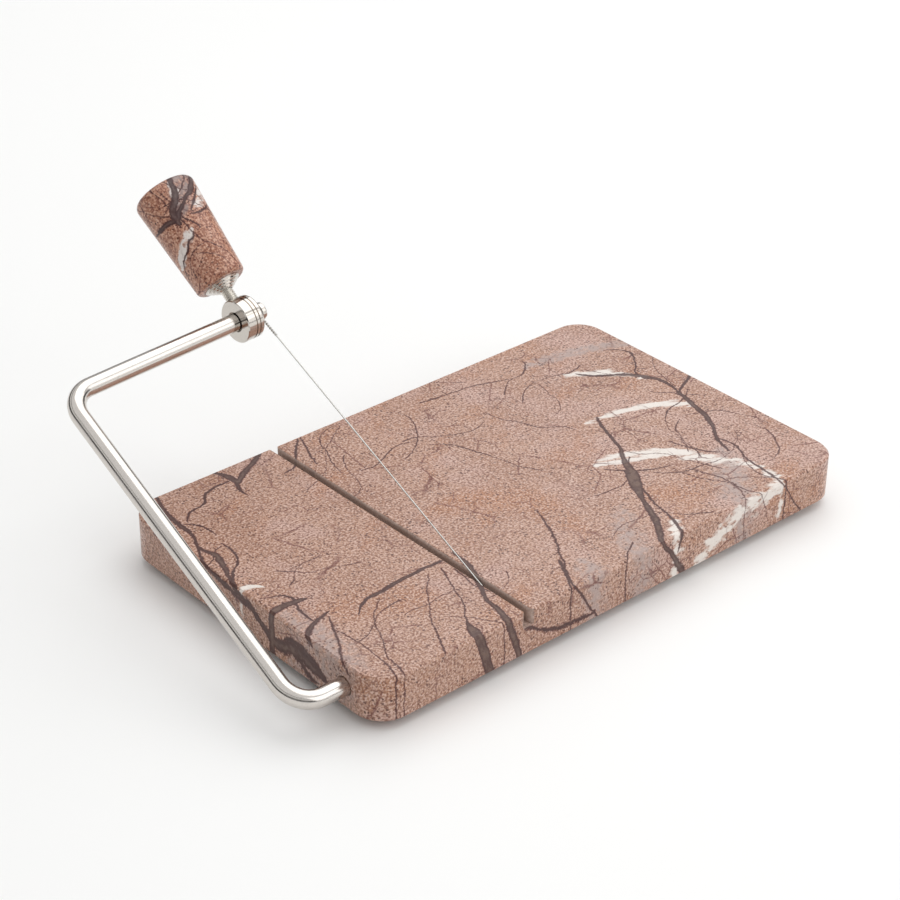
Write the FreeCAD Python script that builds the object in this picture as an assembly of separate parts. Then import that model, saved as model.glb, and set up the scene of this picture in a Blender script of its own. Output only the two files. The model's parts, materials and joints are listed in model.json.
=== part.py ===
"""Cheese wire cutter: a marble board with a hinged wire arm.

Frame, in millimetres:
  +X runs along the board, away from the arm's side; +Y runs to the back; +Z is up.
  The origin is the middle of the whole object's box, arm half raised, on the surface that the feet stand on.

Everything is first drawn with the board's middle over the origin, and moved at the end.
The arm is drawn flat, in its own plane, and is then swung up about the pivot:
  in that plane X is the pivot axis and Y runs out from the pivot to the handle.
"""
import FreeCAD, Part
import math
import os

from FreeCAD import Placement, Rotation, Vector

# Board
BOARD_LENGTH = 203.2
BOARD_WIDTH = 127.0
BOARD_THICKNESS = 15.9
BOARD_CORNER_RADIUS = 10.5
BOARD_EDGE_CHAMFER = 0.7

# Slot that the wire closes into, across the whole board
SLOT_X = -42.0
SLOT_WIDTH = 2.0
SLOT_DEPTH = 5.5
SLOT_LIP_RADIUS = 1.0
SLOT_MOUTH_RADIUS = 2.2

# Rubber feet
FOOT_DIAMETER = 12.0
FOOT_HEIGHT = 3.0
FOOT_CROWN = 1.0
FOOT_INSET = 18.0

# Pivot of the arm
PIVOT_FROM_FRONT = 15.5
BORE_CLEARANCE = 0.08
BORE_MOUTH_CHAMFER = 0.3
BORE_PAST_SLOT = 9.0
POCKET_DIAMETER = 14.0

# Arm rod
ROD_DIAMETER = 6.0
BEND_RADIUS = 9.3
ARM_REACH = 126.0
ARM_OVERHANG = 17.4
ARM_SPLAY = 3.1
ARM_LIFT = 25.9
ROD_PAST_SLOT = 8.0

# Wire
WIRE_DIAMETER = 0.5
EYE_RADIUS = 1.85
TWIST_DIAMETER = 1.1
TWIST_LENGTH = 8.0
TWIST_PAST_SCREW_HEAD = 0.15
WIRE_HOLE_DIAMETER = 1.2
WIRE_BEND_RADIUS = 0.9
WIRE_LIFT_OFF_ROD = 0.05
ANCHOR_DIAMETER = 2.2
ANCHOR_LENGTH = 1.8
ANCHOR_SEAT_CLEARANCE = 0.1
ANCHOR_RECESS = 0.3

# Screw that clamps the wire's eye to the rod's end
SCREW_THREAD_DIAMETER = 3.0
SCREW_THREAD_LENGTH = 9.0
SCREW_HEAD_DIAMETER = 6.0
SCREW_HEAD_LENGTH = 1.8
SCREW_HEAD_ROUNDING = 0.5
SCREW_TIP_GAP = 1.0
SCREW_SLOT_WIDTH = 0.8
SCREW_SLOT_DEPTH = 0.7

# Knuckle that carries the handle; grooves and the handle's axis are placed from its face on the rod's side
KNUCKLE_DIAMETER = 14.5
KNUCKLE_LENGTH = 6.8
KNUCKLE_FROM_EYE = 2.5
KNUCKLE_FAR_ROUNDING = 0.8
KNUCKLE_NEAR_CHAMFER = 0.3
KNUCKLE_HANDLE_PLACE = 3.9
KNUCKLE_GROOVE_PLACES = (3.5, 4.9)
KNUCKLE_GROOVE_WIDTH = 0.45
KNUCKLE_GROOVE_DEPTH = 0.55
KNUCKLE_MOUTH_DIAMETER = 7.0
KNUCKLE_MOUTH_DEPTH = 1.2

# Handle, measured outward from the axis of the arm's upper leg
HANDLE_TILT = 13.4
HANDLE_START = 13.8
HANDLE_END = 51.2
HANDLE_INNER_DIAMETER = 17.5
HANDLE_OUTER_DIAMETER = 21.7
HANDLE_OUTER_ROUNDING = 2.6
HANDLE_INNER_ROUNDING = 1.5
STUD_DIAMETER = 4.2
STUD_BITE = 0.4
STUD_IN_HANDLE = 18.0
STUD_GLUE_GAP = 0.15
STUD_TIP_GAP = 1.0
FERRULE_RING_DIAMETERS = (6.0, 8.2, 10.4, 12.6)
FERRULE_RING_BEVEL = 0.4
FERRULE_LENGTH = 2.8

# Worked out from the sizes above
BOARD_BOTTOM = FOOT_HEIGHT
BOARD_TOP = BOARD_BOTTOM + BOARD_THICKNESS
BOARD_LEFT = -BOARD_LENGTH / 2
BOARD_FRONT = -BOARD_WIDTH / 2
PIVOT_Y = BOARD_FRONT + PIVOT_FROM_FRONT
PIVOT_Z = BOARD_BOTTOM + BOARD_THICKNESS / 2
ROD_RADIUS = ROD_DIAMETER / 2
WIRE_RADIUS = WIRE_DIAMETER / 2
SPLAY = math.radians(ARM_SPLAY)
AXIS_X = Vector(1, 0, 0)
AXIS_Y = Vector(0, 1, 0)
AXIS_Z = Vector(0, 0, 1)
SAME_PLACE = 0.01

# The arm's corners and its upper leg, in the arm's own plane
LOWER_CORNER = Vector(BOARD_LEFT - ARM_OVERHANG, 0, 0)
UPPER_CORNER = LOWER_CORNER + AXIS_Y * ARM_REACH
LEG_ALONG = Vector(math.cos(SPLAY), math.sin(SPLAY), 0)
LEG_OUTWARD = Vector(-math.sin(SPLAY), math.cos(SPLAY), 0)
WIRE_LEAVES_EYE = SCREW_HEAD_DIAMETER / 2 + TWIST_PAST_SCREW_HEAD
EYE_STATION = (SLOT_X - UPPER_CORNER.x - WIRE_LEAVES_EYE * math.sin(SPLAY)) / math.cos(SPLAY)
ROD_END_STATION = EYE_STATION - WIRE_RADIUS
KNUCKLE_END_STATION = EYE_STATION - KNUCKLE_FROM_EYE
KNUCKLE_START_STATION = KNUCKLE_END_STATION - KNUCKLE_LENGTH
HANDLE_STATION = KNUCKLE_START_STATION + KNUCKLE_HANDLE_PLACE
WIRE_OFFSET = ROD_RADIUS + WIRE_RADIUS + WIRE_LIFT_OFF_ROD


def on_leg(station):
    """Point on the axis of the upper leg, in the arm's plane."""
    return UPPER_CORNER + LEG_ALONG * station


def swing_up(shape):
    """Take a shape from the arm's own plane to its raised place on the board."""
    raised = shape.copy()
    lift = Rotation(AXIS_X, ARM_LIFT)
    swing = Placement(Vector(0, PIVOT_Y, PIVOT_Z), lift)
    raised.Placement = swing.multiply(raised.Placement)
    return raised


def rounded_path(points, radius):
    """Straight runs through the points, joined by tangent arcs of one radius."""
    edges = []
    run_start = points[0]
    for before, corner, after in zip(points, points[1:], points[2:]):
        back = (before - corner).normalize()
        onward = (after - corner).normalize()
        half_angle = back.getAngle(onward) / 2
        trim = radius / math.tan(half_angle)
        arc_start = corner + back * trim
        arc_end = corner + onward * trim
        bisector = (back + onward).normalize()
        arc_middle = corner + bisector * (radius / math.sin(half_angle) - radius)
        edges.append(Part.LineSegment(run_start, arc_start).toShape())
        edges.append(Part.Arc(arc_start, arc_middle, arc_end).toShape())
        run_start = arc_end
    edges.append(Part.LineSegment(run_start, points[-1]).toShape())
    return Part.Wire(edges)


def round_bar(points, bend_radius, bar_radius):
    """Round bar along straight runs and tangent bends."""
    path = rounded_path(points, bend_radius)
    direction = points[1] - points[0]
    section = Part.Wire(Part.makeCircle(bar_radius, points[0], direction))
    return path.makePipeShell([section], True, False)


def cylinder(diameter, start, direction, length):
    """Cylinder of a given diameter that starts at a point."""
    return Part.makeCylinder(diameter / 2, length, start, direction)


def turned(outline, start, direction):
    """Solid of revolution; the outline gives (along, radius) corners from axis to axis."""
    corners = [Vector(radius, 0, along) for along, radius in outline]
    face = Part.Face(Part.makePolygon(corners + corners[:1]))
    solid = face.revolve(Vector(0, 0, 0), AXIS_Z, 360)
    solid.Placement = Placement(start, Rotation(AXIS_Z, direction))
    return solid


def outer_rim(solid, start, direction):
    """Round outer edge at the end of a turned solid that lies furthest along a direction."""
    def along(edge):
        return (edge.CenterOfMass - start).dot(direction)
    rims = [edge for edge in solid.Edges if edge.Closed]
    furthest = max(along(edge) for edge in rims)
    at_the_end = [edge for edge in rims if along(edge) > furthest - SAME_PLACE]
    return max(at_the_end, key=lambda edge: edge.Length)


def is_upright(edge):
    """Whether an edge runs along Z."""
    return abs(edge.tangentAt(edge.FirstParameter).z) > 0.9


def make_board():
    """Marble slab with the wire slot, the pivot bore and the pocket under the rod's end."""
    slab = Part.makeBox(BOARD_LENGTH, BOARD_WIDTH, BOARD_THICKNESS,
                        Vector(BOARD_LEFT, BOARD_FRONT, BOARD_BOTTOM))
    slab = slab.makeFillet(BOARD_CORNER_RADIUS, [edge for edge in slab.Edges if is_upright(edge)])
    slab = slab.makeChamfer(BOARD_EDGE_CHAMFER, [edge for edge in slab.Edges if not is_upright(edge)])
    slab = slab.cut(slot_cutter())

    bore_start = Vector(BOARD_LEFT, PIVOT_Y, PIVOT_Z)
    bore_length = SLOT_X - BOARD_LEFT + BORE_PAST_SLOT
    bore = cylinder(ROD_DIAMETER + 2 * BORE_CLEARANCE, bore_start, AXIS_X, bore_length)
    mouth_radius = ROD_RADIUS + BORE_CLEARANCE + BORE_MOUTH_CHAMFER
    mouth = Part.makeCone(mouth_radius, mouth_radius - BORE_MOUTH_CHAMFER, BORE_MOUTH_CHAMFER,
                          bore_start, AXIS_X)
    pocket = cylinder(POCKET_DIAMETER, Vector(SLOT_X, PIVOT_Y, BOARD_BOTTOM), AXIS_Z,
                      BOARD_THICKNESS - SLOT_DEPTH)
    return slab.cut(bore.fuse([mouth, pocket]))


def slot_cutter():
    """Slot across the board, with rounded top lips and mouths that flare at both ends."""
    top = BOARD_TOP
    bottom = BOARD_TOP - SLOT_DEPTH
    half = SLOT_WIDTH / 2
    back = -BOARD_FRONT
    main = Part.makeBox(SLOT_WIDTH, BOARD_WIDTH, SLOT_DEPTH, Vector(SLOT_X - half, BOARD_FRONT, bottom))
    cutter = main.fuse(lip_cutter(SLOT_LIP_RADIUS, half, top))
    for end, inward in ((BOARD_FRONT, 1), (back, -1)):
        cutter = cutter.fuse(mouth_cutter(end, inward, half, bottom))
    return cutter


def lip_cutter(radius, half, top):
    """Bar that rounds both top edges of the slot."""
    def lip(side):
        edge_x = SLOT_X + side * half
        outer = Vector(edge_x + side * radius, BOARD_FRONT, top)
        lower = Vector(edge_x, BOARD_FRONT, top - radius)
        inner = Vector(edge_x, BOARD_FRONT, top)
        knee = radius * (1 - math.sqrt(0.5))
        middle = Vector(edge_x + side * knee, BOARD_FRONT, top - knee)
        edges = [Part.LineSegment(inner, outer).toShape(),
                 Part.Arc(outer, middle, lower).toShape(),
                 Part.LineSegment(lower, inner).toShape()]
        return Part.Face(Part.Wire(edges)).extrude(AXIS_Y * BOARD_WIDTH)
    return lip(-1).fuse(lip(1))


def mouth_cutter(end, inward, half, bottom):
    """Flared mouth of the slot at one side face of the board."""
    radius = SLOT_MOUTH_RADIUS
    knee = radius * (1 - math.sqrt(0.5))
    pieces = []
    for side in (-1, 1):
        edge_x = SLOT_X + side * half
        outer = Vector(edge_x + side * radius, end, bottom)
        inner = Vector(edge_x, end + inward * radius, bottom)
        corner = Vector(edge_x, end, bottom)
        middle = Vector(edge_x + side * knee, end + inward * knee, bottom)
        edges = [Part.LineSegment(corner, outer).toShape(),
                 Part.Arc(outer, middle, inner).toShape(),
                 Part.LineSegment(inner, corner).toShape()]
        pieces.append(Part.Face(Part.Wire(edges)).extrude(AXIS_Z * SLOT_DEPTH))
    return pieces[0].fuse(pieces[1])


def make_foot(side_x, side_y):
    """Rubber bumper with a crowned underside, stuck under one corner of the board."""
    place = Vector(side_x * (BOARD_LENGTH / 2 - FOOT_INSET), side_y * (BOARD_WIDTH / 2 - FOOT_INSET), 0)
    foot = cylinder(FOOT_DIAMETER, place, AXIS_Z, FOOT_HEIGHT)
    return foot.makeFillet(FOOT_CROWN, [outer_rim(foot, place, -AXIS_Z)])


def make_arm_rod():
    """Bent rod: pivot leg, long leg and upper leg, with its wire hole, screw hole and dimple."""
    inner_end = Vector(SLOT_X + ROD_PAST_SLOT, 0, 0)
    rod = round_bar([inner_end, LOWER_CORNER, UPPER_CORNER, on_leg(ROD_END_STATION)],
                    BEND_RADIUS, ROD_RADIUS)
    wire_hole = cylinder(WIRE_HOLE_DIAMETER, Vector(SLOT_X, 0, -ROD_DIAMETER), AXIS_Z, 2 * ROD_DIAMETER)
    anchor_seat = cylinder(ANCHOR_DIAMETER + 2 * ANCHOR_SEAT_CLEARANCE, Vector(SLOT_X, 0, -ROD_DIAMETER),
                           AXIS_Z, ROD_DIAMETER - ROD_RADIUS + ANCHOR_RECESS + ANCHOR_LENGTH)
    screw_hole = cylinder(SCREW_THREAD_DIAMETER, on_leg(ROD_END_STATION), -LEG_ALONG,
                          SCREW_THREAD_LENGTH)
    dimple = cylinder(STUD_DIAMETER, on_leg(HANDLE_STATION) + handle_direction() * (ROD_RADIUS - STUD_BITE),
                      handle_direction(), ROD_DIAMETER)
    return rod.cut(wire_hole.fuse([anchor_seat, screw_hole, dimple]))


def handle_direction():
    """The handle's axis: square to the upper leg and tilted up out of the arm's plane."""
    tilt = math.radians(HANDLE_TILT)
    return LEG_OUTWARD * math.cos(tilt) + AXIS_Z * math.sin(tilt)


def from_leg_axis(distance):
    """Point on the handle's axis at a distance from the upper leg's axis."""
    return on_leg(HANDLE_STATION) + handle_direction() * distance


def make_wire_anchor():
    """Small barrel crimped on the wire's lower end; it sits in the rod's counterbore."""
    top = Vector(SLOT_X, 0, ANCHOR_LENGTH + ANCHOR_RECESS - ROD_RADIUS)
    barrel = cylinder(ANCHOR_DIAMETER, top, -AXIS_Z, ANCHOR_LENGTH)
    return barrel.cut(cylinder(WIRE_DIAMETER, Vector(SLOT_X, 0, 0), -AXIS_Z, ROD_DIAMETER))


def make_cutting_wire():
    """Wire from the anchor, over the rod, to the twisted eye under the screw head."""
    eye_centre = on_leg(EYE_STATION)
    eye_foot = eye_centre - LEG_OUTWARD * EYE_RADIUS
    eye_exit = eye_centre - LEG_OUTWARD * WIRE_LEAVES_EYE
    anchor_end = Vector(SLOT_X, 0, ANCHOR_RECESS - ROD_RADIUS)
    over_rod = Vector(SLOT_X, 0, WIRE_OFFSET)
    run = round_bar([anchor_end, over_rod, eye_exit, eye_foot], WIRE_BEND_RADIUS, WIRE_RADIUS)
    eye = Part.makeTorus(EYE_RADIUS, WIRE_RADIUS, eye_centre, LEG_ALONG)
    twist = cylinder(TWIST_DIAMETER, eye_exit, (over_rod - eye_exit).normalize(), TWIST_LENGTH)
    return run.fuse([eye, twist])


def make_knuckle():
    """Turned collar on the rod's end, tapped across its middle for the handle's stud."""
    start = on_leg(KNUCKLE_START_STATION)
    knuckle = cylinder(KNUCKLE_DIAMETER, start, LEG_ALONG, KNUCKLE_LENGTH)
    knuckle = knuckle.makeFillet(KNUCKLE_FAR_ROUNDING, [outer_rim(knuckle, start, LEG_ALONG)])
    knuckle = knuckle.makeChamfer(KNUCKLE_NEAR_CHAMFER, [outer_rim(knuckle, start, -LEG_ALONG)])
    for place in KNUCKLE_GROOVE_PLACES:
        knuckle = knuckle.cut(groove_cutter(start + LEG_ALONG * place))
    mouth = cylinder(KNUCKLE_MOUTH_DIAMETER, start, LEG_ALONG, KNUCKLE_MOUTH_DEPTH)
    rod_hole = cylinder(ROD_DIAMETER, start, LEG_ALONG, KNUCKLE_LENGTH)
    stud_hole = cylinder(STUD_DIAMETER, from_leg_axis(0), handle_direction(), KNUCKLE_DIAMETER)
    return knuckle.cut(mouth.fuse([rod_hole, stud_hole]))


def groove_cutter(place):
    """Ring that cuts a square groove round the knuckle."""
    bottom = KNUCKLE_DIAMETER / 2 - KNUCKLE_GROOVE_DEPTH
    outside = KNUCKLE_DIAMETER / 2 + KNUCKLE_GROOVE_DEPTH
    half = KNUCKLE_GROOVE_WIDTH / 2
    outline = [(-half, bottom), (-half, outside), (half, outside), (half, bottom)]
    return turned(outline, place, LEG_ALONG)


def make_wire_screw():
    """Slotted screw in the rod's end; its head clamps the wire's eye."""
    seat = on_leg(EYE_STATION + WIRE_RADIUS)
    head = cylinder(SCREW_HEAD_DIAMETER, seat, LEG_ALONG, SCREW_HEAD_LENGTH)
    head = head.makeFillet(SCREW_HEAD_ROUNDING, [outer_rim(head, seat, LEG_ALONG)])
    slot = Part.makeBox(SCREW_SLOT_DEPTH, SCREW_HEAD_DIAMETER * 2, SCREW_SLOT_WIDTH,
                        Vector(0, -SCREW_HEAD_DIAMETER, -SCREW_SLOT_WIDTH / 2))
    slot.Placement = Placement(on_leg(EYE_STATION + WIRE_RADIUS + SCREW_HEAD_LENGTH - SCREW_SLOT_DEPTH),
                               Rotation(AXIS_X, LEG_ALONG))
    tip = on_leg(ROD_END_STATION - SCREW_THREAD_LENGTH + SCREW_TIP_GAP)
    shank = cylinder(SCREW_THREAD_DIAMETER, tip, LEG_ALONG, (seat - tip).Length)
    return head.cut(slot).fuse(shank)


def make_handle_stud():
    """Threaded stud from the rod, through the knuckle, into the handle."""
    start = ROD_RADIUS - STUD_BITE
    length = HANDLE_START + STUD_IN_HANDLE - start
    return cylinder(STUD_DIAMETER, from_leg_axis(start), handle_direction(), length)


def make_handle_ferrule():
    """Turned steel ferrule on the stud, a stack of rings that widen up to the handle."""
    bore = STUD_DIAMETER / 2
    ring_length = FERRULE_LENGTH / len(FERRULE_RING_DIAMETERS)
    outline = [(0, bore)]
    for index, diameter in enumerate(FERRULE_RING_DIAMETERS):
        rim = diameter / 2
        start = index * ring_length
        outline.append((start, rim - FERRULE_RING_BEVEL))
        outline.append((start + FERRULE_RING_BEVEL, rim))
        outline.append((start + ring_length, rim))
    outline.append((FERRULE_LENGTH, bore))
    return turned(outline, from_leg_axis(HANDLE_START - FERRULE_LENGTH), handle_direction())


def make_handle():
    """Marble grip: a cone that widens outward, rounded at both ends, drilled for the stud."""
    length = HANDLE_END - HANDLE_START
    start = from_leg_axis(HANDLE_START)
    outward = handle_direction()
    grip = Part.makeCone(HANDLE_INNER_DIAMETER / 2, HANDLE_OUTER_DIAMETER / 2, length, start, outward)
    grip = grip.makeFillet(HANDLE_OUTER_ROUNDING, [outer_rim(grip, start, outward)])
    grip = grip.makeFillet(HANDLE_INNER_ROUNDING, [outer_rim(grip, start, -outward)])
    stud_hole = cylinder(STUD_DIAMETER + 2 * STUD_GLUE_GAP, start, outward, STUD_IN_HANDLE + STUD_TIP_GAP)
    return grip.cut(stud_hole)


FEET = {
    "rubber_foot_front_left": (-1, -1),
    "rubber_foot_front_right": (1, -1),
    "rubber_foot_back_left": (-1, 1),
    "rubber_foot_back_right": (1, 1),
}
ARM_PIECES = {
    "arm_rod": make_arm_rod,
    "cutting_wire": make_cutting_wire,
    "wire_anchor": make_wire_anchor,
    "wire_screw": make_wire_screw,
    "knuckle": make_knuckle,
    "handle_stud": make_handle_stud,
    "handle_ferrule": make_handle_ferrule,
    "marble_handle": make_handle,
}

os.makedirs("parts", exist_ok=True)
pieces = {"marble_board": make_board()}
for foot_name, (side_x, side_y) in FEET.items():
    pieces[foot_name] = make_foot(side_x, side_y)
for piece_name, make_piece in ARM_PIECES.items():
    pieces[piece_name] = swing_up(make_piece())

whole = Part.makeCompound(list(pieces.values())).optimalBoundingBox()
MIDDLE = Vector((whole.XMin + whole.XMax) / 2, (whole.YMin + whole.YMax) / 2, 0)
print("moved by", -MIDDLE, "pivot at", Vector(BOARD_LEFT, PIVOT_Y, PIVOT_Z) - MIDDLE)

for name, solid in pieces.items():
    solid.translate(-MIDDLE)
    box = solid.optimalBoundingBox()
    print(f"{name:26s} solids {len(solid.Solids)} valid {solid.isValid()} volume {solid.Volume:10.1f}",
          f"x {box.XMin:7.1f} {box.XMax:7.1f} y {box.YMin:7.1f} {box.YMax:7.1f}",
          f"z {box.ZMin:6.1f} {box.ZMax:6.1f}")
    solid.exportStep(os.path.join("parts", name + ".step"))
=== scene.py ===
"""Looks of the cheese wire cutter: veined marble, steel and a twisted wire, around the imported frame."""
import json
import math
import random

import bpy
from mathutils import Matrix, Vector


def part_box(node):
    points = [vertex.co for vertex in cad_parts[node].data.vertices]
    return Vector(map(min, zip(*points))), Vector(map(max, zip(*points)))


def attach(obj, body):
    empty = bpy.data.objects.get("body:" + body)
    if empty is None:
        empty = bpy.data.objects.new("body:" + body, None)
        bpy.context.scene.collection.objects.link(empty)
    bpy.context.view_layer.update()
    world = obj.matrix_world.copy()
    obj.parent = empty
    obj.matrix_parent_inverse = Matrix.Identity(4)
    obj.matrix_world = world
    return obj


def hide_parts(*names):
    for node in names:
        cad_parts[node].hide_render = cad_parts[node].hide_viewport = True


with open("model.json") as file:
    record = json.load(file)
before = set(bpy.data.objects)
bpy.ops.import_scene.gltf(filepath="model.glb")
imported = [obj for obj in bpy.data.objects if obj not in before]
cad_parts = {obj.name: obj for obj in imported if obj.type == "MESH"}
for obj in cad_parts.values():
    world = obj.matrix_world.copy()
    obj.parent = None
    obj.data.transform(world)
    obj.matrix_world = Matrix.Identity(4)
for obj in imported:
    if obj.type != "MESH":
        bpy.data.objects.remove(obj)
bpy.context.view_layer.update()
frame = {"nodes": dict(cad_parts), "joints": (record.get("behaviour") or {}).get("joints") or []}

MM = 0.001
AXIS_Z = Vector((0, 0, 1))

# Camera: the photograph's viewing angle, aimed at a point behind the middle of the board's underside
CAMERA_AZIMUTH = math.radians(-41.48)
CAMERA_ELEVATION = math.radians(30.96)
CAMERA_ROLL = math.radians(0.52)
CAMERA_DISTANCE = 838.5 * MM
CAMERA_AIM = Vector((19.8, 43.2, 0.0)) * MM
CAMERA_LENS = 96.06

# The arm, as in the CAD: it is laid out flat round its pivot, and lifted
ARM_LIFT = math.radians(25.9)
ARM_SPLAY = math.radians(3.1)
ARM_REACH = 126.0 * MM
ARM_OVERHANG = 17.4 * MM
ROD_RADIUS = 3.0 * MM
SLOT_FROM_LEFT = 59.6 * MM

# The wire
WIRE_RADIUS = 0.25 * MM
WIRE_BEND_RADIUS = 0.9 * MM
WIRE_ABOVE_ROD = 0.3 * MM
WIRE_ANCHOR_DEPTH = 2.7 * MM
EYE_RADIUS = 1.85 * MM
EYE_EXIT = 3.15 * MM
EYE_OPENING = math.radians(28)
EYE_STEPS = 32
TWIST_LENGTH = 8.0 * MM
TWIST_PITCH = 2.0 * MM
TWIST_SPREAD = 1.05
TWIST_STEPS = 96
WIRE_BEND_STEPS = 8
WIRE_SMOOTHING = 2
WIRE_SIDES = 10

# The handle and its stud
HANDLE_TILT = math.radians(13.4)
HANDLE_SEAT = 3.4 * MM
HANDLE_MEAN_RADIUS = 9.8
HANDLE_NEAR_SIDE = math.radians(-124)
STUD_RADIUS = 2.1 * MM
STUD_LENGTH = 29.2 * MM
THREAD_PITCH = 0.7 * MM
THREAD_DEPTH = 0.35 * MM
THREAD_FLANK = 2.4
THREAD_SIDES = 32
THREAD_RINGS_PER_TURN = 8

# Marble, in mm and radians: taper of a vein's ends beside its soft edge, and turn of the white streaks
VEIN_TAPER = 1.0
WHITE_STREAK_TURN = -0.5
STRAY_SEED = 7
BOARD_STRAY_COUNT = 34
HANDLE_STRAY_COUNT = 6

# Walls of the slot, unpolished and with painted light against their shade, in mm: half width where they fade
# out, and depth below the board's top
SAWN_EDGE = (1.9, 2.6)
SAWN_TOP = (-0.3, -0.05)
SAWN_FLOOR = (-5.8, -5.4)

# Stage
FLOOR_REACH = 6.0
SKY_STRENGTH = 0.85
SKY_STOPS = ((0.0, 0.9), (0.02, 0.9), (0.05, 0.06), (0.26, 0.08), (0.32, 0.85), (0.5, 0.95), (0.53, 0.3),
             (0.58, 0.3), (0.62, 1.0))
LIGHT_AIM = (0, 0, 0.03)

board_low, board_high = (Vector(corner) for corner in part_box("marble_board"))
PIVOT = Vector(frame["joints"][0]["pos_m"])
LIFTED = Matrix.Translation(PIVOT) @ Matrix.Rotation(ARM_LIFT, 4, "X")
LEG_ALONG = Vector((math.cos(ARM_SPLAY), math.sin(ARM_SPLAY), 0))
LEG_OUTWARD = Vector((-math.sin(ARM_SPLAY), math.cos(ARM_SPLAY), 0))
HANDLE_AXIS = LEG_OUTWARD * math.cos(HANDLE_TILT) + AXIS_Z * math.sin(HANDLE_TILT)


# ---------------------------------------------------------------- node helpers

def linear(red, green, blue):
    """Linear colour from 0-255 display values."""
    def channel(value):
        value /= 255
        return value / 12.92 if value <= 0.04045 else ((value + 0.055) / 1.055) ** 2.4
    return (channel(red), channel(green), channel(blue), 1.0)


class Look:
    """A material being built from nodes."""

    def __init__(self, name, **surface):
        self.material = bpy.data.materials.new(name)
        self.material.use_nodes = True
        self.tree = self.material.node_tree
        self.shader = self.tree.nodes["Principled BSDF"]
        for label, value in surface.items():
            self.shader.inputs[label.replace("_", " ")].default_value = value

    def add(self, kind, inputs=None, **settings):
        """Add a node; inputs are values or other nodes' outputs."""
        node = self.tree.nodes.new(kind)
        for label, value in settings.items():
            setattr(node, label, value)
        for key, value in (inputs or {}).items():
            if isinstance(value, bpy.types.NodeSocket):
                self.tree.links.new(value, node.inputs[key])
            else:
                node.inputs[key].default_value = value
        return node

    def drive(self, label, value):
        """Feed one of the shader's inputs."""
        self.tree.links.new(value, self.shader.inputs[label])

    def math(self, operation, first, second=0.0):
        return self.add("ShaderNodeMath", {0: first, 1: second}, operation=operation).outputs[0]

    def vector_math(self, operation, first, second):
        return self.add("ShaderNodeVectorMath", {0: first, 1: second}, operation=operation).outputs[0]

    def place(self):
        """Position in the shared frame, in millimetres."""
        coordinates = self.add("ShaderNodeTexCoord").outputs["Object"]
        return self.scaled(coordinates, 1 / MM)

    def scaled(self, vector, factor):
        return self.add("ShaderNodeVectorMath", {0: vector, "Scale": factor}, operation="SCALE").outputs[0]

    def local(self, position, origin, rotation=(0, 0, 0), scale=(1, 1, 1)):
        """Position seen from an origin, with turned and scaled axes."""
        return self.add("ShaderNodeMapping", {"Vector": position, "Location": origin, "Rotation": rotation,
                                              "Scale": scale}, vector_type="TEXTURE").outputs[0]

    def project(self, position, origin, direction):
        """Distance of a position from an origin along a direction, times that direction's length."""
        dot = self.add("ShaderNodeVectorMath", {0: position, 1: direction}, operation="DOT_PRODUCT")
        return self.math("SUBTRACT", dot.outputs["Value"], origin.dot(direction))

    def noise(self, position, size, detail=2.0, roughness=0.5):
        """Noise with features of a size in millimetres, around 0.5."""
        return self.add("ShaderNodeTexNoise", {"Vector": position, "Scale": 1 / size, "Detail": detail,
                                               "Roughness": roughness}).outputs["Fac"]

    def wander(self, position, size, amount):
        """Smooth sideways push of up to an amount, in millimetres."""
        noise = self.add("ShaderNodeTexNoise", {"Vector": position, "Scale": 1 / size, "Detail": 2.0})
        centred = self.vector_math("SUBTRACT", noise.outputs["Color"], (0.5, 0.5, 0.5))
        return self.scaled(centred, 2 * amount)

    def remap(self, value, low, high, to_low=0.0, to_high=1.0):
        """Smooth step from one range to another."""
        return self.add("ShaderNodeMapRange", {0: value, 1: low, 2: high, 3: to_low, 4: to_high},
                        interpolation_type="SMOOTHSTEP").outputs[0]

    def mix(self, factor, first, second):
        """Blend of two colours."""
        node = self.add("ShaderNodeMix", data_type="RGBA")
        for key, value in ((0, factor), (6, first), (7, second)):
            if isinstance(value, bpy.types.NodeSocket):
                self.tree.links.new(value, node.inputs[key])
            else:
                node.inputs[key].default_value = value
        return node.outputs[2]

    def curve(self, value, points):
        """Smooth curve through (x, y) points between 0 and 1."""
        node = self.add("ShaderNodeFloatCurve", {"Factor": 1.0, "Value": value})
        node.mapping.extend = "HORIZONTAL"
        dots = node.mapping.curves[0].points
        while len(dots) < len(points):
            dots.new(0.5, 0.5)
        for dot, (x, y) in zip(dots, points):
            dot.location = (x, y)
        node.mapping.update()
        return node.outputs[0]

    def bump(self, height, distance, strength=1.0):
        """Surface relief from a height, as a normal."""
        return self.add("ShaderNodeBump", {"Height": height, "Distance": distance,
                                           "Strength": strength}).outputs[0]


# ---------------------------------------------------------------- marble

def vein(path, widths, soft=0.25, lean=0.0):
    """Settings of one vein: the points it passes, and half widths spread evenly along it, in mm.

    The edges fade over the soft distance. The lean tips the vein's sheet away from upright.
    """
    return {"path": path, "widths": widths, "soft": soft, "lean": lean}


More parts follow.
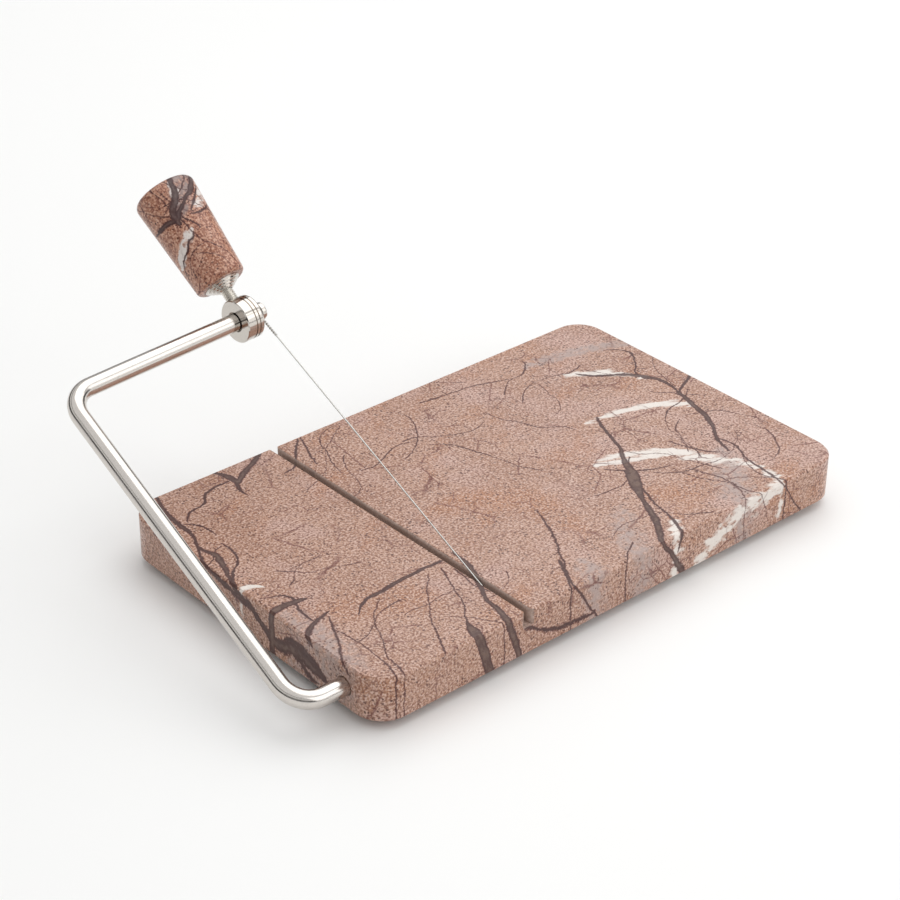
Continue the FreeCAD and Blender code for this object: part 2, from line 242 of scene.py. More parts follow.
def vein_depth(look, position, path, widths, soft, lean):
    """Distance inside a vein's edge, in soft distances; negative outside it."""
    start = Vector((*path[0], 0.0))
    run = Vector((*path[-1], 0.0)) - start
    length = run.length
    forward = run / length
    sideways = AXIS_Z.cross(forward) * math.cos(lean)
    square_to_sheet = sideways + AXIS_Z * math.sin(lean)
    along = look.project(position, start, forward / length)
    across = look.project(position, start - square_to_sheet * length / 2, square_to_sheet / length)
    passed = [(Vector((*point, 0.0)) - start) / length for point in path]
    line = [(point.dot(forward), 0.5 + point.dot(sideways)) for point in passed]
    off_line = look.math("ABSOLUTE", look.math("SUBTRACT", across, look.curve(along, line)))
    reach = max(widths) + 2 * soft
    tip = min(0.4, (soft + VEIN_TAPER) / length)
    spacing = (1 - 2 * tip) / (len(widths) - 1)
    span = [(tip + spacing * index, (half + 2 * soft) / reach) for index, half in enumerate(widths)]
    span = look.curve(along, [(0.0, 0.0)] + span + [(1.0, 0.0)])
    inside = look.math("SUBTRACT", look.math("MULTIPLY", span, reach / length), off_line)
    edge = soft / length
    return look.add("ShaderNodeMapRange", {0: inside, 1: edge, 2: 3 * edge, 3: -1.0, 4: 1.0},
                    clamp=False).outputs[0]


def all_veins(look, position, veins):
    """Greatest depth inside any of several veins at each point."""
    deepest = None
    for settings in veins:
        depth = vein_depth(look, position, **settings)
        deepest = depth if deepest is None else look.math("MAXIMUM", deepest, depth)
    return deepest


def ragged(look, depth, noise, amount):
    """Vein mask from a depth whose edge a noise pushes in and out."""
    push = look.math("MULTIPLY", look.math("SUBTRACT", noise, 0.5), amount)
    return look.remap(look.math("ADD", depth, push), -1.0, 1.0)


def stray_veins(seed, count, low, high):
    """Thin veins with random courses that start between two corners."""
    chance = random.Random(seed)
    veins = []
    for _ in range(count):
        path = [Vector((chance.uniform(low[0], high[0]), chance.uniform(low[1], high[1])))]
        heading = chance.uniform(0, 2 * math.pi)
        stride = chance.uniform(3.5, 10.0)
        for _ in range(5):
            heading += chance.uniform(-0.6, 0.6)
            path.append(path[-1] + stride * Vector((math.cos(heading), math.sin(heading))))
        widths = [chance.uniform(0.14, 0.34) for _ in range(4)]
        veins.append(vein([tuple(point) for point in path], widths, 0.2))
    return veins


def crack_network(look, position, size, width, presence):
    """Fine cracks between cells of a size, present only in patches."""
    edge = look.add("ShaderNodeTexVoronoi", {"Vector": position, "Scale": 1 / size},
                    feature="DISTANCE_TO_EDGE").outputs["Distance"]
    lines = look.remap(edge, 0.2 * width / size, width / size, 1.0, 0.0)
    return look.math("MULTIPLY", lines, presence)


def speckle(look, position, size, low, high):
    """Scattered dots about a size apart; low and high set how many show."""
    cells = look.add("ShaderNodeTexVoronoi", {"Vector": position, "Scale": 1 / size})
    strength = look.add("ShaderNodeSeparateColor", {0: cells.outputs["Color"]}).outputs[0]
    radius = look.remap(strength, low, high, 0.0, 0.42)
    gap = look.math("SUBTRACT", radius, cells.outputs["Distance"])
    return look.remap(gap, -0.08, 0.08)


def ground_tones(look, position, broad_chart, tones, veins):
    """Stone between the grains: cloudy brown with rosy patches and ochre stains."""
    cloud = look.noise(position, 26.0, 4.0, 0.6)
    colour = look.mix(look.remap(cloud, 0.35, 0.65), tones["deep"], tones["base"])
    blush = look.noise(look.local(position, (70, 20, 9)), 20.0, 3.0)
    colour = look.mix(look.remap(blush, 0.48, 0.7, 0.0, 0.8), colour, tones["rosy"])
    stain = look.noise(look.local(position, (11, 47, 3), (0, 0, 0.5), (2.2, 1, 1)), 14.0, 4.0)
    stain = look.remap(stain, 0.53, 0.7, 0.0, 0.7)
    pools = look.remap(all_veins(look, broad_chart, veins["stain"]), -1.0, 1.0, 0.0, 0.85)
    pools = look.math("MULTIPLY", pools, look.remap(cloud, 0.35, 0.55, 0.4, 1.0))
    return look.mix(look.math("MAXIMUM", stain, pools), colour, tones["stain"])


def with_grain(look, position, colour, tones):
    """Coarse and fine grains, both paler and darker than the stone."""
    grain = look.noise(position, 1.7, 2.0, 0.7)
    colour = look.mix(look.remap(grain, 0.46, 0.66, 0.0, 0.4), colour, tones["pale"])
    colour = look.mix(look.remap(grain, 0.46, 0.3, 0.0, 0.35), colour, tones["freckle"])
    fine = look.noise(position, 0.75, 1.0, 0.6)
    colour = look.mix(look.remap(fine, 0.5, 0.64, 0.0, 0.85), colour, tones["freckle"])
    colour = look.mix(look.remap(fine, 0.48, 0.34, 0.0, 0.85), colour, tones["pale"])
    return colour, grain, fine


def with_pale_bands(look, jagged, jagged_chart, broad_chart, colour, tones, veins):
    """Broad grey bands and streaky white ones."""
    streaks = look.noise(jagged, 3.0, 4.0, 0.65)
    grey = ragged(look, all_veins(look, broad_chart, veins["grey"]), streaks, 4.0)
    grey = look.math("MULTIPLY", grey, look.remap(streaks, 0.36, 0.56, 0.3, 0.85))
    colour = look.mix(grey, colour, tones["grey"])
    strips = look.local(jagged, (0, 0, 0), (0, 0, WHITE_STREAK_TURN), (5, 1, 1))
    strips = look.noise(strips, 2.4, 3.0, 0.6)
    white = ragged(look, all_veins(look, jagged_chart, veins["white"]), strips, 9.0)
    white = look.math("MULTIPLY", white, look.remap(strips, 0.36, 0.48, 0.3, 1.0))
    return look.mix(white, colour, tones["white"]), streaks, white


def with_dots(look, position, white, colour, tones):
    """Small dark dots, crowded in places and sparse on the white bands."""
    dots = speckle(look, position, 1.0, 0.3, 0.95)
    crowd = look.remap(look.noise(position, 9.0), 0.35, 0.6, 0.35, 0.95)
    dots = look.math("MULTIPLY", dots, crowd)
    dots = look.math("MULTIPLY", dots, look.remap(white, 0.0, 0.8, 1.0, 0.12))
    return look.mix(dots, colour, tones["speck"])


def with_dark_lines(look, position, jagged, jagged_chart, fine, streaks, colour, tones, veins):
    """Fine cracks in patches, and the dark veins with greyer cores where they are wide."""
    patches = look.remap(look.noise(position, 24.0), 0.46, 0.62)
    cracks = crack_network(look, jagged, 23.0, 0.4, patches)
    finer_patches = look.remap(look.noise(look.local(position, (31, 5, 0)), 15.0), 0.52, 0.66)
    finer = crack_network(look, look.local(jagged, (9, 4, 2)), 9.5, 0.28, finer_patches)
    cracks = look.math("MULTIPLY", look.math("MAXIMUM", cracks, finer), 0.75)
    depth = all_veins(look, jagged_chart, veins["dark"])
    dark = look.math("MAXIMUM", cracks, ragged(look, depth, fine, 2.5))
    core = look.remap(depth, 1.6, 4.4)
    core = look.math("MULTIPLY", core, look.remap(streaks, 0.42, 0.56, 0.2, 1.0))
    thin_tone = look.mix(look.remap(depth, -1.0, 1.5), tones["crack"], tones["vein"])
    vein_tone = look.mix(core, thin_tone, tones["vein_grey"])
    return look.mix(look.math("MULTIPLY", dark, 0.94), colour, vein_tone), dark


def make_marble(look, position, chart, tones, veins, saw_cut=None):
    """Polished brown marble with a freckled grain, fine cracks and its own larger veins.

    The position is solid, in mm. The chart is the flat drawing that the larger veins are laid out on.
    """
    push = look.wander(position, 14.0, 1.0)
    jitter = look.vector_math("ADD", push, look.wander(position, 2.4, 0.6))
    jagged = look.vector_math("ADD", position, jitter)
    jagged_chart = look.vector_math("ADD", chart, jitter)
    broad_chart = look.vector_math("ADD", chart, push)

    colour = ground_tones(look, position, broad_chart, tones, veins)
    colour, grain, fine = with_grain(look, position, colour, tones)
    colour, streaks, white = with_pale_bands(look, jagged, jagged_chart, broad_chart, colour, tones, veins)
    colour = with_dots(look, position, white, colour, tones)
    colour, dark = with_dark_lines(look, position, jagged, jagged_chart, fine, streaks, colour, tones, veins)

    roughness = look.remap(look.noise(position, 6.0, 3.0), 0.3, 0.7, 0.24, 0.36)
    roughness = look.math("ADD", roughness, look.math("MULTIPLY", dark, 0.15))
    height = grain
    if saw_cut is not None:
        cut = saw_cut(look, position)
        # Slot walls: greyer, rougher unpolished stone, with a lighter tone as painted light against the
        # slot's shade
        colour = look.mix(look.math("MULTIPLY", cut, 0.75), colour, tones["sawn_and_painted_fill"])
        roughness = look.math("ADD", roughness, look.math("MULTIPLY", cut, 0.4))
        height = look.math("ADD", grain, look.math("MULTIPLY", cut, look.noise(position, 0.6, 4.0)))
    look.drive("Base Color", colour)
    look.drive("Roughness", roughness)
    look.drive("Normal", look.bump(height, 0.006 * MM))
    return look.material


# Veins of the board, in mm from the front left corner of its top. The main ones follow the real board, with
# points picked. About half of the dark ones' points were put into mm by another script, then rounded.
BOARD_DARK = [
    vein([(172, 98), (177, 92), (186, 85), (190, 80), (192, 74), (191, 65)], (0.5, 0.8, 1.0, 0.8)),
    vein([(191, 66), (189, 57), (184, 42), (178, 34), (175, 25)], (0.8, 1.1, 0.8, 0.6)),
    vein([(189, 104), (196, 101), (198, 96), (194, 89), (189, 82), (192, 75)], (0.35, 0.5, 0.35)),
    vein([(190, 64), (198, 68), (208, 73)], (0.5, 0.3)),
    vein([(157, 71), (151, 58), (148, 50), (144, 44), (139, 35)], (0.5, 0.7, 0.9, 1.6)),
    vein([(141, 39), (136, 31), (131, 22)], (2.4, 1.0)),
    vein([(132, 24), (125, 11), (117, -1)], (0.7, 1.2, 0.8), lean=0.48),
    vein([(139, 36), (132, 16), (129, 6), (126, -1)], (0.5, 0.4, 0.6), lean=-0.3),
    vein([(101, 41), (94, 26), (88, 16), (82, 7), (79, -1)], (0.25, 0.4, 0.35, 0.4), lean=0.55),
    vein([(86, 15), (81, 6), (77, -1)], (0.5, 0.3)),
    vein([(64, 40), (60, 25), (54, 13), (53, 7), (51, -1)], (0.5, 1.1, 0.8, 1.3), lean=0.3),
    vein([(57, -3), (67, -5.5), (75, -7), (88, -6.5)], (0.35, 0.45, 0.3), lean=0.5),
    vein([(55, 36), (50, 23), (47, 15), (42, 9), (39, -1)], (0.25, 0.3, 0.3, 0.4, 2.0), lean=0.33),
    vein([(134, 45), (143, 36), (154, 31)], (0.35, 0.25)),
    vein([(152, 31), (155, 20), (160, 9), (155, -1)], (0.2, 0.25, 0.2)),
    vein([(156, 28), (160, 15), (161, 5), (164, -1)], (0.2, 0.2), lean=0.3),
    vein([(178, 35), (179, 27), (176, 17), (175, 9), (173, -1)], (0.35, 0.4, 0.3), lean=0.6),
    vein([(193, 33), (195, 26), (192, 20), (187, 14), (180, 12)], (0.25, 0.3, 0.2)),
    vein([(164, 44), (168, 32), (172, 27)], (0.3, 0.3)),
    vein([(14, 40), (4, 36), (-1, 31)], (0.4, 0.7), lean=0.66),
    vein([(12, 38), (6, 26), (4, 22), (-2, 13)], (0.3, 0.4, 0.3), lean=0.45),
    vein([(9, 31), (10, 21), (10, 13), (9, 6), (7, -1)], (0.25, 0.25, 0.3)),
    vein([(12, 9), (10, -1)], (0.25, 0.25)),
    vein([(30, 35), (21, 27), (16, 17), (11, 8)], (0.2, 0.25, 0.25)),
    vein([(3, 57), (9, 53), (7, 45), (7, 38)], (0.5, 0.6, 0.4)),
    vein([(19, 32), (26, 37), (32, 37), (41, 38), (58, 38)], (0.4, 0.9, 0.6)),
    vein([(50, 35), (37, 20), (29, 6), (26, -1)], (0.2, 0.25, 0.3), lean=-0.3),
    vein([(12, 127), (8.5, 117), (7.7, 108), (7, 100), (4.6, 93), (5.8, 86), (4, 79)],
         (0.6, 0.9, 0.6, 1.2), lean=0.4),
    vein([(5, 85), (4, 80), (0, 70), (-1.2, 63), (-2.9, 57), (-4.7, 49), (-4, 40), (-5.5, 24)],
         (1.0, 0.6, 0.8, 1.2, 0.5), lean=0.46),
    vein([(6, 98), (3.3, 91), (0, 84), (-1, 77), (-1.5, 70), (-2.2, 60)], (0.4, 0.6, 0.5), lean=0.46),
    vein([(11, 91), (11.6, 85), (9.6, 79), (3, 74), (0, 67)], (0.4, 0.5, 0.6)),
    vein([(13, 49), (7, 50), (-1, 50)], (0.8, 1.4)),
    vein([(-3.3, 45), (-2.6, 38), (-3.4, 31), (-5.2, 24)], (0.4, 0.6), lean=0.46),
    vein([(-4.6, 44), (-5.3, 37), (-6.6, 34), (-7, 29)], (0.6, 0.4), lean=0.46),
    vein([(34, 128), (36.8, 121), (37, 116)], (0.7, 1.2)),
    vein([(36, 116), (44, 121), (50, 124), (56, 128)], (1.0, 1.1, 0.7)),
    vein([(37, 119), (26, 118), (20, 113), (15, 112), (10, 107)], (0.4, 0.6, 0.4)),
    vein([(37, 118), (35, 112), (35, 107)], (0.7, 0.3)),
    vein([(59, 127), (59, 117), (61, 105)], (0.4, 0.3)),
    vein([(70, 126), (62, 118), (58, 113), (52, 111)], (0.4, 0.35)),
    vein([(71, 126), (66, 114), (64, 108)], (0.3, 0.3)),
    vein([(8, 108), (12, 103), (13, 95)], (0.3, 0.35)),
]
BOARD_WHITE = [
    vein([(150, 70), (158, 69), (169, 67), (181, 62), (189, 55)], (0.8, 1.6, 2.0, 1.2), 0.9),
    vein([(133, 48), (150, 43), (162, 36)], (1.4, 2.4, 2.8), 1.2),
    vein([(160, 38), (167, 25), (174, 17), (175, 9), (173, -1)], (2.6, 2.4, 1.5, 1.2), 1.1),
    vein([(174, 0), (163, -1.1), (151, -2.7), (142, -6), (134, -8.5)], (1.0, 1.3, 1.0), 0.9, lean=-0.5),
    vein([(168, 100), (180, 92), (190, 78)], (1.2, 1.0), 0.8),
    vein([(130, 8), (122, -2)], (1.2, 1.0), 0.9),
    vein([(7, 62), (2, 66), (-3, 62)], (0.4, 0.3), 0.6),
]
BOARD_GREY = [
    vein([(160, 112), (171, 112), (186, 109), (205, 101)], (1.6, 2.6, 1.8), 1.6),
    vein([(126, 26), (112, 10), (108, -12)], (1.0, 3.0, 3.0), 5.0),
    vein([(92, 12), (84, -12)], (2.0, 2.0), 4.0),
    vein([(4, 50), (2, 8)], (2.0, 2.0), 5.0),
    vein([(176, 30), (152, -2)], (2.0, 4.0), 4.0),
]
BOARD_STAIN = [
    vein([(66, 62), (96, 54), (104, 30), (100, 14)], (6.0, 8.0, 5.0), 6.0),
    vein([(12, 40), (30, 33), (46, 20)], (6.0, 7.0, 6.0), 5.0),
    vein([(132, 26), (152, 10)], (5.0, 4.0), 5.0),
]
BOARD_TONES = {
    "base": linear(184, 143, 121),
    "deep": linear(168, 125, 102),
    "rosy": linear(190, 154, 142),
    "stain": linear(172, 114, 74),
    "pale": linear(214, 182, 168),
    "freckle": linear(124, 80, 64),
    "speck": linear(92, 56, 46),
    "crack": linear(98, 38, 32),
    "vein": linear(64, 30, 28),
    "vein_grey": linear(104, 80, 70),
    "grey": linear(172, 152, 146),
    "white": linear(228, 219, 211),
    # Slot walls: the unpolished stone's grey, lightened as painted light against the shade in the slot
    "sawn_and_painted_fill": linear(172, 153, 143),
}
BOARD_STRAYS = stray_veins(STRAY_SEED, BOARD_STRAY_COUNT, (8, 4), (198, 120))
BOARD_VEINS = {"dark": BOARD_DARK + BOARD_STRAYS, "white": BOARD_WHITE, "grey": BOARD_GREY,
               "stain": BOARD_STAIN}

# Veins of the handle, in mm: across its near side, and outward from the middle of its inner end. Their points
# were found as the board's were.
HANDLE_DARK = [
    vein([(5, 38), (4, 35), (3.4, 32), (2, 29), (-0.6, 26), (-0.9, 21)], (0.9, 1.0, 1.3, 1.2)),
    vein([(14, 37), (11, 33), (8.2, 30), (5.5, 28.4), (2.4, 26), (0.5, 24.5), (-1, 22)],
         (1.3, 1.2, 0.7, 0.9)),
    vein([(0, 22), (-4.3, 24), (-7, 24.3), (-13, 24.6)], (0.6, 1.0, 0.6, 0.3)),
    vein([(-3, 23.2), (-7.5, 23.8), (-13, 25)], (0.2, 0.3)),
    vein([(3, 23), (6.2, 22.6), (9.2, 23), (14, 25)], (0.25, 0.45, 0.25)),
    vein([(4, 23.6), (7.2, 26.5), (10.4, 29.3), (13, 32)], (0.4, 0.45, 0.3)),
    vein([(0, 24), (0.7, 20), (1.6, 16.3), (3, 12.3)], (0.3, 0.2, 0.15)),
    vein([(2.4, 13), (6, 10.3), (9.7, 5.7), (12, -1)], (0.15, 0.2, 0.15)),
    vein([(4, 12), (0.7, 12.3), (-2.1, 11.5), (-5.6, 9.4), (-7.8, 5)], (0.15, 0.2, 0.15)),
    vein([(1.8, 18), (0.5, 16), (-2.1, 14.7), (-3.4, 12.8), (-6.3, 11.9), (-9, 10), (-11, 5)],
         (0.3, 0.5, 0.35, 0.3)),
    vein([(-14, 37), (-8, 31), (-5.5, 28), (-1.5, 24.6)], (0.12, 0.15, 0.2)),
    vein([(-1, 36), (0, 31.5), (1, 28)], (0.12, 0.12)),
    vein([(-4, 10.7), (0.2, 9.4), (5.5, 5.5), (7, 2)], (0.1, 0.1)),
    vein([(22, 38), (25, 27), (20, 16), (18, 0)], (0.4, 0.6, 0.4)),
    vein([(-22, 38), (-26, 24), (-20, 12), (-17, 0)], (0.3, 0.5, 0.3)),
    vein([(18, 22), (24, 15), (31, 12)], (0.3, 0.3)),
]
HANDLE_WHITE = [
    vein([(4, 36), (3, 31), (1.2, 26)], (0.8, 1.0, 0.6), 0.5),
    vein([(13, 31), (10.5, 26.5), (5, 24.3)], (1.8, 1.8, 0.8), 0.5),
    vein([(2, 19), (-1, 16.5), (-4.3, 14.6), (-8, 12), (-12, 10)], (1.0, 1.6, 1.7, 1.2), 0.5),
    vein([(20, 30), (24, 20), (22, 8)], (1.2, 1.6, 0.8), 0.8),
]
HANDLE_GREY = [
    vein([(9, 40), (7, 34), (3, 28), (0, 22)], (3.6, 3.0, 2.0), 1.2),
    vein([(-22, 30), (-20, 6)], (2.0, 2.0), 2.0),
]
HANDLE_STAIN = [
    vein([(-2, 9), (6, 5)], (3.0, 4.0), 3.0),
    vein([(-6, 33), (-12, 29)], (3.0, 3.0), 3.0),
]
HANDLE_STRAYS = stray_veins(STRAY_SEED, HANDLE_STRAY_COUNT, (-28, 4), (28, 34))
HANDLE_VEINS = {"dark": HANDLE_DARK + HANDLE_STRAYS, "white": HANDLE_WHITE, "grey": HANDLE_GREY,
                "stain": HANDLE_STAIN}
HANDLE_TONES = {
    "base": linear(184, 132, 108),
    "deep": linear(162, 110, 86),
    "rosy": linear(190, 142, 124),
    "stain": linear(164, 104, 70),
    "pale": linear(210, 168, 146),
    "freckle": linear(124, 74, 58),
    "speck": linear(82, 44, 38),
    "crack": linear(90, 34, 30),
    "vein": linear(58, 28, 28),
    "vein_grey": linear(92, 70, 68),
    "grey": linear(136, 122, 120),
    "white": linear(224, 215, 209),
}


def board_saw_cut(look, position):
    """Mask of the wire slot's walls, in the board's own coordinates: unpolished stone, painted lighter
    against the shade in the slot.
    """
    across, _, up = look.add("ShaderNodeSeparateXYZ", {0: position}).outputs
    near = look.math("ABSOLUTE", look.math("SUBTRACT", across, SLOT_FROM_LEFT / MM))
    inside = look.remap(near, *SAWN_EDGE, 1.0, 0.0)
    below = look.remap(up, *SAWN_TOP, 1.0, 0.0)
    above_floor = look.remap(up, *SAWN_FLOOR)
    return look.math("MULTIPLY", look.math("MULTIPLY", inside, below), above_floor)


def make_board_marble():
    """Marble of the board, measured from the front left corner of its top."""
    look = Look("board_marble")
    corner = Vector((board_low.x, board_low.y, board_high.z)) / MM
    position = look.local(look.place(), corner)
    return make_marble(look, position, position, BOARD_TONES, BOARD_VEINS, board_saw_cut)


def make_handle_marble():
    """Marble of the handle, charted round its axis from the side that faces the left front."""
    look = Look("handle_marble")
    turn = LIFTED.to_3x3()
    outward = turn @ HANDLE_AXIS
    side = turn @ LEG_ALONG
    near = side * math.cos(HANDLE_NEAR_SIDE) + outward.cross(side) * math.sin(HANDLE_NEAR_SIDE)
    axes = Matrix((near, outward.cross(near), outward)).transposed()
    inner_end = middle_of("handle_stud") - outward * HANDLE_SEAT
    position = look.local(look.place(), inner_end / MM, axes.to_euler())
    near_part, side_part, along = look.add("ShaderNodeSeparateXYZ", {0: position}).outputs
    angle = look.math("ARCTAN2", side_part, near_part)
    around = look.math("MULTIPLY", angle, HANDLE_MEAN_RADIUS)
    chart = look.add("ShaderNodeCombineXYZ", {0: around, 1: along}).outputs[0]
    return make_marble(look, position, chart, HANDLE_TONES, HANDLE_VEINS)


def middle_of(node):
    """Middle of a CAD node's box."""
    low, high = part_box(node)
    return (Vector(low) + Vector(high)) / 2


# ---------------------------------------------------------------- steel and rubber

def make_steel(name, tint, roughness):
    """Steel with a very fine grain, faint smudges and hairline scratches."""
    look = Look(name, Metallic=1.0)
    position = look.place()
    grain = look.noise(position, 0.3, 2.0, 0.6)
    scratches = look.noise(look.local(position, (0, 0, 0), (0.4, 0.3, 0.2), (40, 1, 1)), 0.5, 2.0)
    smudge = look.noise(position, 9.0, 3.0)
    dark = tuple(channel * 0.8 for channel in tint[:3]) + (1.0,)
    colour = look.mix(look.remap(grain, 0.35, 0.65, 0.0, 0.35), tint, dark)
    look.drive("Base Color", look.mix(look.remap(scratches, 0.62, 0.72, 0.0, 0.6), colour, dark))
    worn = look.remap(grain, 0.3, 0.7, -0.04, 0.04)
    worn = look.math("ADD", worn, look.remap(smudge, 0.35, 0.65, -0.03, 0.05))
    look.drive("Roughness", look.math("ADD", worn, roughness))
    look.drive("Normal", look.bump(look.math("ADD", grain, scratches), 0.002 * MM, 0.5))
    return look.material


def make_rubber():
    """Matte soft rubber with a fine moulded texture and dust."""
    look = Look("foot_rubber", Roughness=0.75)
    position = look.place()
    dust = look.noise(position, 2.4, 4.0)
    colour = look.mix(look.remap(dust, 0.4, 0.7), linear(38, 37, 36), linear(64, 62, 59))
    look.drive("Base Color", colour)
    look.drive("Roughness", look.remap(dust, 0.3, 0.7, 0.68, 0.85))
    look.drive("Normal", look.bump(look.noise(position, 0.25), 0.03 * MM, 0.6))
    return look.material


def dress(node, material):
    """Give a CAD node a finished material."""
    for slot in frame["nodes"][node].material_slots:
        slot.material = material


# ---------------------------------------------------------------- detailed pieces

def mesh_piece(name, points, faces, material, node):
    """Smooth mesh piece that stands for a CAD node and moves with the arm."""
    mesh = bpy.data.meshes.new(name)
    mesh.from_pydata([tuple(point) for point in points], [], faces)
    mesh.validate()
    mesh.shade_smooth()
    mesh.materials.append(material)
    piece = bpy.data.objects.new(name, mesh)
    bpy.context.scene.collection.objects.link(piece)
    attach(piece, "arm")
    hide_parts(node)


def smoothed(path, rounds):
    """Path with its corners eased; its ends stay."""
    for _ in range(rounds):
        inner = [(before + 2 * here + after) / 4 for before, here, after in zip(path, path[1:], path[2:])]
        path = [path[0]] + inner + [path[-1]]
    return path


def sweep(path, radius, sides):
    """Points and faces of a round bar along a path, with closed ends."""
    points = []
    faces = []
    normal = (path[1] - path[0]).orthogonal().normalized()
    for index, here in enumerate(path):
        onward = path[min(index + 1, len(path) - 1)] - path[max(index - 1, 0)]
        onward.normalize()
        normal = (normal - onward * normal.dot(onward)).normalized()
        across = onward.cross(normal)
        for side in range(sides):
            angle = 2 * math.pi * side / sides
            points.append(here + normal * radius * math.cos(angle) + across * radius * math.sin(angle))
    for ring in range(len(path) - 1):
        for side in range(sides):
            a = ring * sides + side
            b = ring * sides + (side + 1) % sides
            faces.append((a, b, b + sides, a + sides))
    faces.append(tuple(reversed(range(sides))))
    faces.append(tuple(range(len(points) - sides, len(points))))
    return points, faces


def make_wire(material):
    """Wire from its anchor, over the rod and up to an eye, whose tail is twisted back round it."""
    corner = Vector((-ARM_OVERHANG, ARM_REACH, 0))
    station = (SLOT_FROM_LEFT - corner.x - EYE_EXIT * math.sin(ARM_SPLAY)) / math.cos(ARM_SPLAY)
    eye = corner + LEG_ALONG * station
    leaving = eye - LEG_OUTWARD * EYE_EXIT
    over_rod = Vector((SLOT_FROM_LEFT, 0, ROD_RADIUS + WIRE_ABOVE_ROD))
    down = (over_rod - leaving).normalized()
    beside = down.cross(LEG_ALONG).normalized()
    facing = beside.cross(down).normalized()

    def strand(distance, phase):
        """Point on one of the two twisted strands; the first eases into the straight wire."""
        ramp = min(1.0, (TWIST_LENGTH - distance) / (0.5 * TWIST_PITCH)) if phase == 0 else 1.0
        angle = phase + 2 * math.pi * distance / TWIST_PITCH
        offset = beside * math.cos(angle) + facing * math.sin(angle)
        return leaving + down * distance + offset * WIRE_RADIUS * TWIST_SPREAD * max(ramp, 0.0)

    path = [Vector((SLOT_FROM_LEFT, 0, -WIRE_ANCHOR_DEPTH)),
            Vector((SLOT_FROM_LEFT, 0, ROD_RADIUS - WIRE_BEND_RADIUS))]
    towards_eye = -down
    for step in range(1, WIRE_BEND_STEPS + 1):
        angle = math.pi / 2 * step / WIRE_BEND_STEPS
        path.append(over_rod - AXIS_Z * WIRE_BEND_RADIUS * (1 - math.sin(angle))
                    + towards_eye * WIRE_BEND_RADIUS * (1 - math.cos(angle)))
    path += [strand(TWIST_LENGTH * (1 - step / TWIST_STEPS), 0.0) for step in range(TWIST_STEPS + 1)]
    for step in range(EYE_STEPS + 1):
        angle = EYE_OPENING + (2 * math.pi - 2 * EYE_OPENING) * step / EYE_STEPS
        path.append(eye - LEG_OUTWARD * EYE_RADIUS * math.cos(angle) + beside * EYE_RADIUS * math.sin(angle))
    path += [strand(TWIST_LENGTH * step / TWIST_STEPS, math.pi) for step in range(TWIST_STEPS + 1)]
    path = smoothed(path, WIRE_SMOOTHING)
    points, faces = sweep([LIFTED @ point for point in path], WIRE_RADIUS, WIRE_SIDES)
    mesh_piece("cutting_wire_twisted", points, faces, material, "cutting_wire")


def make_threaded_stud(material):
    """Stud with a helical thread along its whole length."""
    outward = LIFTED.to_3x3() @ HANDLE_AXIS
    start = middle_of("handle_stud") - outward * STUD_LENGTH / 2
    side = outward.orthogonal().normalized()
    other = outward.cross(side)
    rings = round(STUD_LENGTH / THREAD_PITCH * THREAD_RINGS_PER_TURN)
    points = []
    faces = []
    for ring in range(rings + 1):
        height = STUD_LENGTH * ring / rings
        for spoke in range(THREAD_SIDES):
            angle = 2 * math.pi * spoke / THREAD_SIDES
            phase = (height / THREAD_PITCH - spoke / THREAD_SIDES) % 1.0
            groove = THREAD_DEPTH * min(1.0, THREAD_FLANK * min(phase, 1 - phase))
            radius = STUD_RADIUS - THREAD_DEPTH + groove
            away = side * math.cos(angle) + other * math.sin(angle)
            points.append(start + outward * height + away * radius)
    for ring in range(rings):
        for spoke in range(THREAD_SIDES):
            a = ring * THREAD_SIDES + spoke
            b = ring * THREAD_SIDES + (spoke + 1) % THREAD_SIDES
            faces.append((a, b, b + THREAD_SIDES, a + THREAD_SIDES))
    faces.append(tuple(reversed(range(THREAD_SIDES))))
    faces.append(tuple(range(len(points) - THREAD_SIDES, len(points))))
    mesh_piece("handle_stud_threaded", points, faces, material, "handle_stud")


dress("marble_board", make_board_marble())
dress("marble_handle", make_handle_marble())
satin = make_steel("rod_satin_steel", linear(214, 208, 202), 0.16)
dress("arm_rod", satin)
polished = make_steel("turned_polished_steel", linear(208, 202, 195), 0.12)
for name in ("knuckle", "handle_ferrule", "wire_screw"):
    dress(name, polished)
wire_steel = make_steel("drawn_wire_steel", linear(206, 204, 200), 0.22)
dress("wire_anchor", wire_steel)
make_wire(wire_steel)
make_threaded_stud(make_steel("plated_thread_steel", linear(222, 218, 210), 0.24))
rubber = make_rubber()
for name in frame["nodes"]:
    if name.startswith("rubber_foot"):
        dress(name, rubber)


# ---------------------------------------------------------------- stage, light and camera

def make_floor():
    """Pale seamless floor."""
    mesh = bpy.data.meshes.new("floor")
    reach = FLOOR_REACH
    corners = [(-reach, -reach, 0), (reach, -reach, 0), (reach, reach, 0), (-reach, reach, 0)]
    mesh.from_pydata(corners, [], [(0, 1, 2, 3)])
    floor = bpy.data.objects.new("floor", mesh)
    bpy.context.scene.collection.objects.link(floor)
    look = Look("floor_pale", Roughness=0.7)
    tone = look.noise(look.place(), 300.0)
    look.drive("Base Color", look.mix(tone, linear(243, 243, 242), linear(247, 247, 246)))
    mesh.materials.append(look.material)


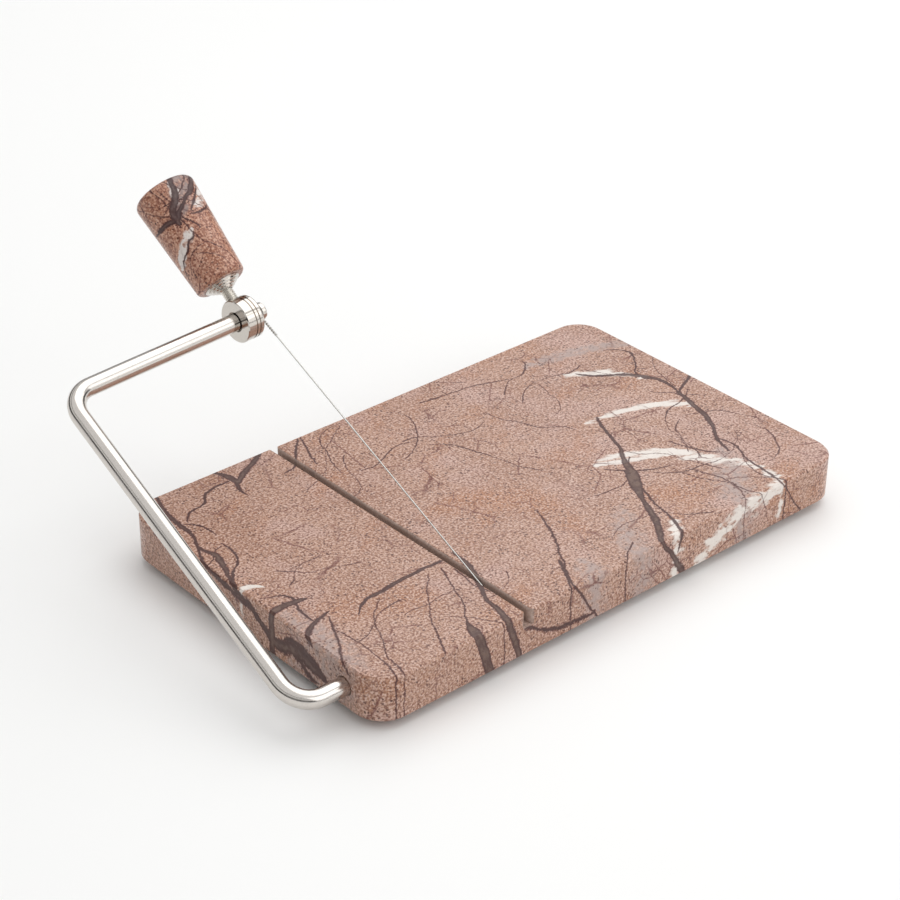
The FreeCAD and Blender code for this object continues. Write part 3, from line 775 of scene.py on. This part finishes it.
def make_sky():
    """Studio surroundings, bright but for a dark band low down and a dimmer strip higher up."""
    world = bpy.data.worlds.new("studio")
    bpy.context.scene.world = world
    world.use_nodes = True
    tree = world.node_tree
    direction = tree.nodes.new("ShaderNodeTexCoord").outputs["Generated"]
    split = tree.nodes.new("ShaderNodeSeparateXYZ")
    tree.links.new(direction, split.inputs[0])
    shade = tree.nodes.new("ShaderNodeValToRGB")
    stops = shade.color_ramp.elements
    while len(stops) < len(SKY_STOPS):
        stops.new(0.5)
    for stop, (place, level) in zip(stops, SKY_STOPS):
        stop.position = place
        stop.color = (level, level, level, 1.0)
    tree.links.new(split.outputs["Z"], shade.inputs[0])
    tree.links.new(shade.outputs[0], tree.nodes["Background"].inputs[0])
    tree.nodes["Background"].inputs[1].default_value = SKY_STRENGTH


def make_light(name, place, aim, size, power):
    """Square soft light that faces a point."""
    data = bpy.data.lights.new(name, "AREA")
    data.shape = "RECTANGLE"
    data.size, data.size_y = size
    data.energy = power
    light = bpy.data.objects.new(name, data)
    light.location = place
    light.rotation_euler = (Vector(aim) - Vector(place)).to_track_quat("-Z", "Y").to_euler()
    bpy.context.scene.collection.objects.link(light)


def make_camera():
    """Camera on a sphere round its aim, with a slight roll."""
    flat = math.cos(CAMERA_ELEVATION)
    outward = Vector((math.sin(CAMERA_AZIMUTH) * flat, -math.cos(CAMERA_AZIMUTH) * flat,
                      math.sin(CAMERA_ELEVATION)))
    right = (-outward).cross(AXIS_Z).normalized()
    up = right.cross(-outward)
    turn = Matrix.Rotation(CAMERA_ROLL, 3, outward)
    axes = Matrix((turn @ right, turn @ up, outward)).transposed()
    data = bpy.data.cameras.new("camera")
    data.lens = CAMERA_LENS
    camera = bpy.data.objects.new("camera", data)
    middle = middle_of("marble_board")
    aim = Vector((middle.x, middle.y, board_low.z)) + CAMERA_AIM
    camera.matrix_world = Matrix.Translation(aim + outward * CAMERA_DISTANCE) @ axes.to_4x4()
    bpy.context.scene.collection.objects.link(camera)
    bpy.context.scene.camera = camera


make_floor()
make_sky()
make_light("key", (0.7, 0.2, 1.2), LIGHT_AIM, (1.6, 1.6), 9.5)
make_light("fill", (0.5, -1.1, 0.6), LIGHT_AIM, (1.2, 1.0), 4.5)
make_camera()
bpy.context.scene.view_settings.view_transform = "Standard"
